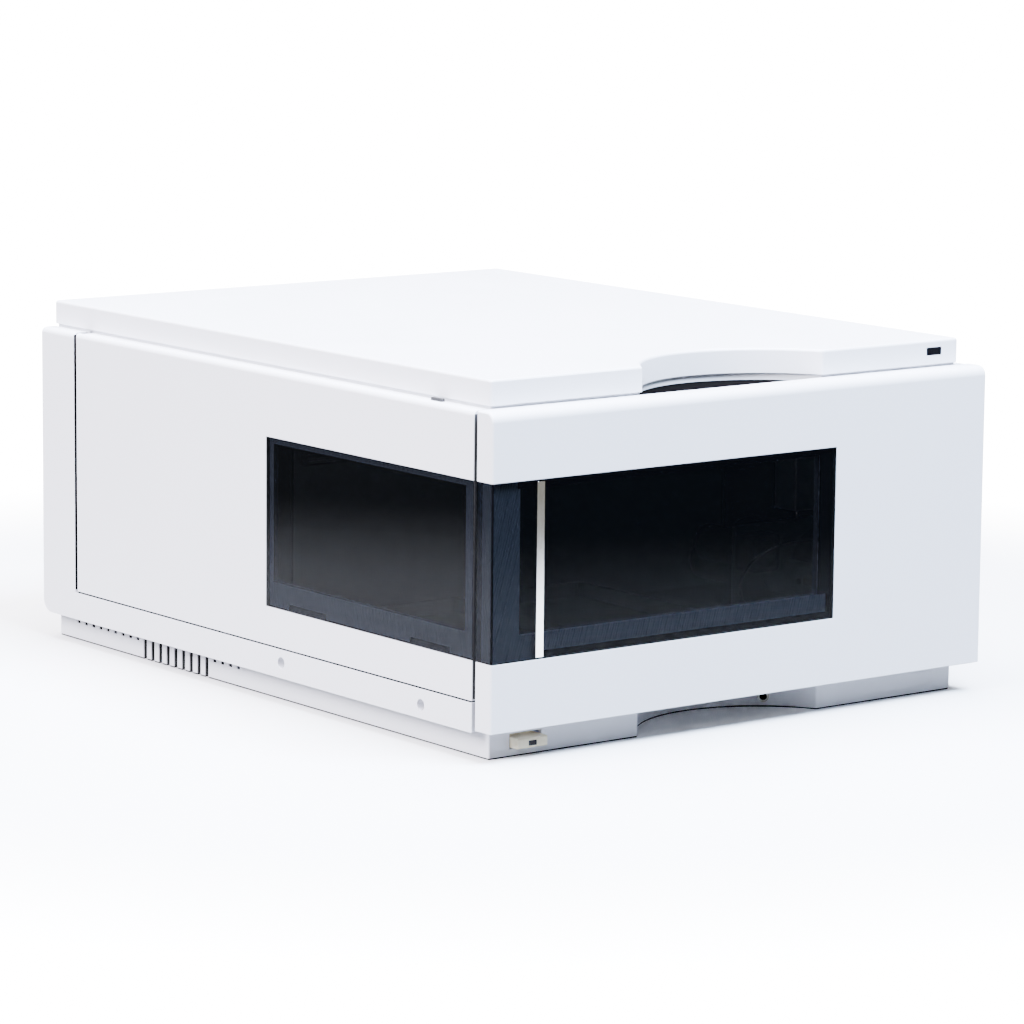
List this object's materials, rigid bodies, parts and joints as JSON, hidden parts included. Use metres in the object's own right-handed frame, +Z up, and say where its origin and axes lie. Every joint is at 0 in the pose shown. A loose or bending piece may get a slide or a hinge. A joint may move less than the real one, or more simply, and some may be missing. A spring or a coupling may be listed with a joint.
{
  "type": "autosampler",
  "caption": "Stackable benchtop autosampler module with tinted front and side doors, arched cover and base, and a needle transport inside.",
  "frame": {"origin": "middle of the footprint, on the surface that the module stands on", "axes": "+X to the right seen from the front, +Y from the front door to the rear, +Z up"},
  "size_m": [0.345, 0.44, 0.2],
  "materials": {
    "casing_white": "cool white moulded plastic and painted sheet, fine satin texture",
    "frame_white": "light grey-white plastic",
    "window_tint": "glossy clear acrylic, tinted nearly black",
    "frame_grey": "blue-grey moulded plastic",
    "bright_strip": "bright polished metal strip",
    "ivory_button": "ivory plastic, soft gloss",
    "dark_lens": "glossy black lens",
    "sheet_metal": "bare folded sheet",
    "stainless": "stainless steel",
    "machined_aluminium": "machined and anodised aluminium",
    "motor_black": "black motor housing",
    "black_plastic": "black moulded plastic",
    "natural_plastic": "beige engineering plastic",
    "pump_grey": "grey plastic",
    "drain_plastic": "grey translucent tube and spigot",
    "rubber_black": "black rubber",
    "board_green": "green circuit board"
  },
  "bodies": {
    "housing": {"bare_plates": "frame_white", "base_tray": "casing_white", "belt": "rubber_black", "bulkhead": "sheet_metal", "capillaries": "stainless", "carriage_motor": "motor_black", "casing_screws": "stainless", "chamber_floor": "stainless", "chassis_left": "sheet_metal", "chassis_right": "sheet_metal", "door_magnets": "black_plastic", "drain_spigot": "drain_plastic", "fan_frame": "black_plastic", "fan_guard": "stainless", "hinge_brackets": "stainless", "inner_deck": "sheet_metal", "leak_sensor": "black_plastic", "left_side_panel": "casing_white", "main_board": "board_green", "mains_inlet": "black_plastic", "metering_head": "machined_aluminium", "plate_tray": "machined_aluminium", "port_fittings": "natural_plastic", "power_supply": "machined_aluminium", "pump_cassette": "pump_grey", "rails_and_axle": "stainless", "rear_panel": "sheet_metal", "rear_sockets": "black_plastic", "right_side_panel": "casing_white", "rubber_feet": "rubber_black", "sampling_drives": "motor_black", "sampling_frame": "sheet_metal", "seat_and_wash_port": "natural_plastic", "seat_bracket": "sheet_metal", "status_lens": "dark_lens", "top_cover": "casing_white", "top_frame": "frame_white", "valve_head": "stainless"},
    "front_door": {"front_door": "casing_white", "front_window": "window_tint", "grip_strip": "bright_strip", "window_frame": "frame_grey"},
    "side_door": {"side_door": "casing_white", "side_window": "window_tint", "side_window_frame": "frame_grey"},
    "side_latch": {"side_latch": "black_plastic"},
    "power_button": {"power_button": "ivory_button", "button_lens": "dark_lens", "switch_rod": "natural_plastic"},
    "x_carriage": {"x_carriage": "machined_aluminium", "swing_motor": "motor_black"},
    "swing_arm": {"swing_arm": "machined_aluminium"},
    "needle_carrier": {"needle_carrier": "machined_aluminium", "needle": "stainless"},
    "drive_pulley": {"drive_pulley": "machined_aluminium"},
    "idler_pulley": {"idler_pulley": "machined_aluminium"},
    "valve_rotor": {"valve_rotor": "natural_plastic"},
    "metering_plunger": {"metering_plunger": "stainless"},
    "pump_rotor": {"pump_rotor": "pump_grey"},
    "fan_impeller": {"fan_impeller": "black_plastic"}
  },
  "joints": [
    {"name": "front_door_hinge", "type": "hinge", "parent": "housing", "child": "front_door", "pos_m": [0.167, -0.213, 0.1], "axis": [0, 0, 1], "range_deg": [0, 90]},
    {"name": "side_door_hinge", "type": "hinge", "parent": "housing", "child": "side_door", "pos_m": [-0.167, 0.177, 0.1], "axis": [0, 0, -1], "range_deg": [0, 90]},
    {"name": "side_latch_press", "type": "slide", "parent": "side_door", "child": "side_latch", "axis": [0, 0, -1], "range_m": [0, 0.001], "stiffness_N_per_m": 300, "springref_m": -0.001},
    {"name": "power_button_press", "type": "slide", "parent": "housing", "child": "power_button", "axis": [0, 1, 0], "range_m": [0, 0.003], "stiffness_N_per_m": 500, "springref_m": -0.002},
    {"name": "carriage_slide", "type": "slide", "parent": "housing", "child": "x_carriage", "axis": [1, 0, 0], "range_m": [-0.2, 0.02]},
    {"name": "drive_pulley_spin", "type": "hinge", "parent": "housing", "child": "drive_pulley", "pos_m": [0.134, -0.03, 0.1525], "axis": [0, 1, 0], "range_deg": [-1400, 150]},
    {"name": "idler_pulley_spin", "type": "hinge", "parent": "housing", "child": "idler_pulley", "pos_m": [-0.147, -0.03, 0.1525], "axis": [0, 1, 0], "range_deg": [-1400, 150]},
    {"name": "arm_swing", "type": "hinge", "parent": "x_carriage", "child": "swing_arm", "pos_m": [0.08, -0.108, 0.14], "axis": [0, 0, -1], "range_deg": [-90, 90]},
    {"name": "needle_slide", "type": "slide", "parent": "swing_arm", "child": "needle_carrier", "axis": [0, 0, 1], "range_m": [-0.05, 0]},
    {"name": "valve_turn", "type": "hinge", "parent": "housing", "child": "valve_rotor", "pos_m": [0.128, -0.132, 0.066], "axis": [0, -1, 0], "range_deg": [0, 60]},
    {"name": "plunger_slide", "type": "slide", "parent": "housing", "child": "metering_plunger", "axis": [0, 1, 0], "range_m": [0, 0.015]},
    {"name": "pump_spin", "type": "hinge", "parent": "housing", "child": "pump_rotor", "pos_m": [0.0765, -0.132, 0.0775], "axis": [0, -1, 0], "continuous": true},
    {"name": "fan_spin", "type": "hinge", "parent": "housing", "child": "fan_impeller", "pos_m": [0.085, 0.2, 0.11], "axis": [0, 1, 0], "continuous": true}
  ],
  "couplings": [
    {"joint": "drive_pulley_spin", "follows": "carriage_slide", "rad_per_m": 120.48},
    {"joint": "idler_pulley_spin", "follows": "carriage_slide", "rad_per_m": 120.48}
  ]
}
